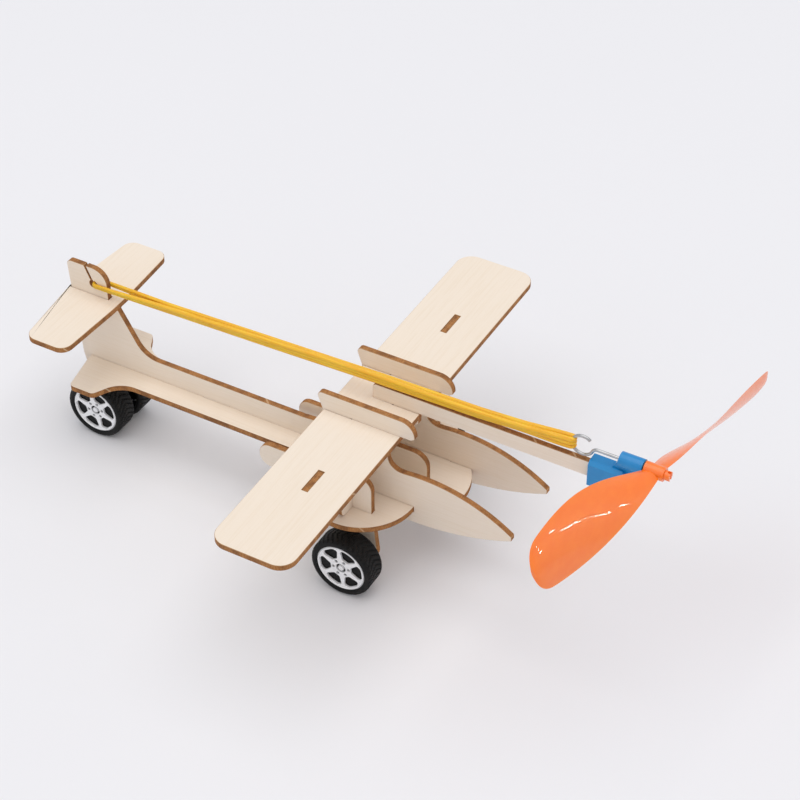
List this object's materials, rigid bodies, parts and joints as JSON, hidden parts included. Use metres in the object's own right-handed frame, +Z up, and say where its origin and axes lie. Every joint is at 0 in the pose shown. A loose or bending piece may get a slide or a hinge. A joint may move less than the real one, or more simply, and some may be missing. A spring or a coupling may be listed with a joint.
{
  "type": "rubber band powered model plane",
  "caption": "Slotted plywood model plane on wheels, with a twisted rubber band that drives a two-blade propeller through a wire hook shaft.",
  "frame": {"origin": "on the ground below the middle of the model's length and span", "axes": "+X forward to the nose, +Y to the model's left, +Z up"},
  "size_m": [0.2186, 0.156, 0.0749],
  "materials": {
    "plywood": "pale sanded basswood ply with laser-browned edges",
    "blue_plastic": "glossy moulded plastic",
    "orange_plastic": "glossy moulded plastic",
    "steel_wire": "drawn steel wire",
    "band_rubber": "natural elastic band",
    "white_plastic": "satin moulded plastic",
    "tyre_rubber": "soft black rubber"
  },
  "bodies": {
    "airframe": {"wing_plate": "plywood", "stabiliser_plate": "plywood", "fuselage_plate": "plywood", "keel_plate": "plywood", "left_side_plate": "plywood", "right_side_plate": "plywood", "left_gear_bracket": "plywood", "right_gear_bracket": "plywood", "left_wing_strut": "plywood", "right_wing_strut": "plywood", "motor_stick": "plywood", "nose_block": "blue_plastic", "rubber_band": "band_rubber"},
    "propeller_unit": {"propeller": "orange_plastic", "hook_shaft": "steel_wire"},
    "front_wheelset": {"front_axle": "steel_wire", "front_left_rim": "white_plastic", "front_right_rim": "white_plastic", "front_left_tyre": "tyre_rubber", "front_right_tyre": "tyre_rubber"},
    "rear_wheelset": {"rear_axle": "steel_wire", "rear_left_rim": "white_plastic", "rear_right_rim": "white_plastic", "rear_left_tyre": "tyre_rubber", "rear_right_tyre": "tyre_rubber"}
  },
  "joints": [
    {"name": "propeller_spin", "type": "hinge", "parent": "airframe", "child": "propeller_unit", "pos_m": [0.09814, 0, 0.0629], "axis": [1, 0, 0], "continuous": true, "deforming": ["rubber_band"]},
    {"name": "front_wheels_spin", "type": "hinge", "parent": "airframe", "child": "front_wheelset", "pos_m": [0.01174, 0, 0.0106], "axis": [0, 1, 0], "continuous": true},
    {"name": "rear_wheels_spin", "type": "hinge", "parent": "airframe", "child": "rear_wheelset", "pos_m": [-0.09736, 0, 0.0106], "axis": [0, 1, 0], "continuous": true}
  ]
}
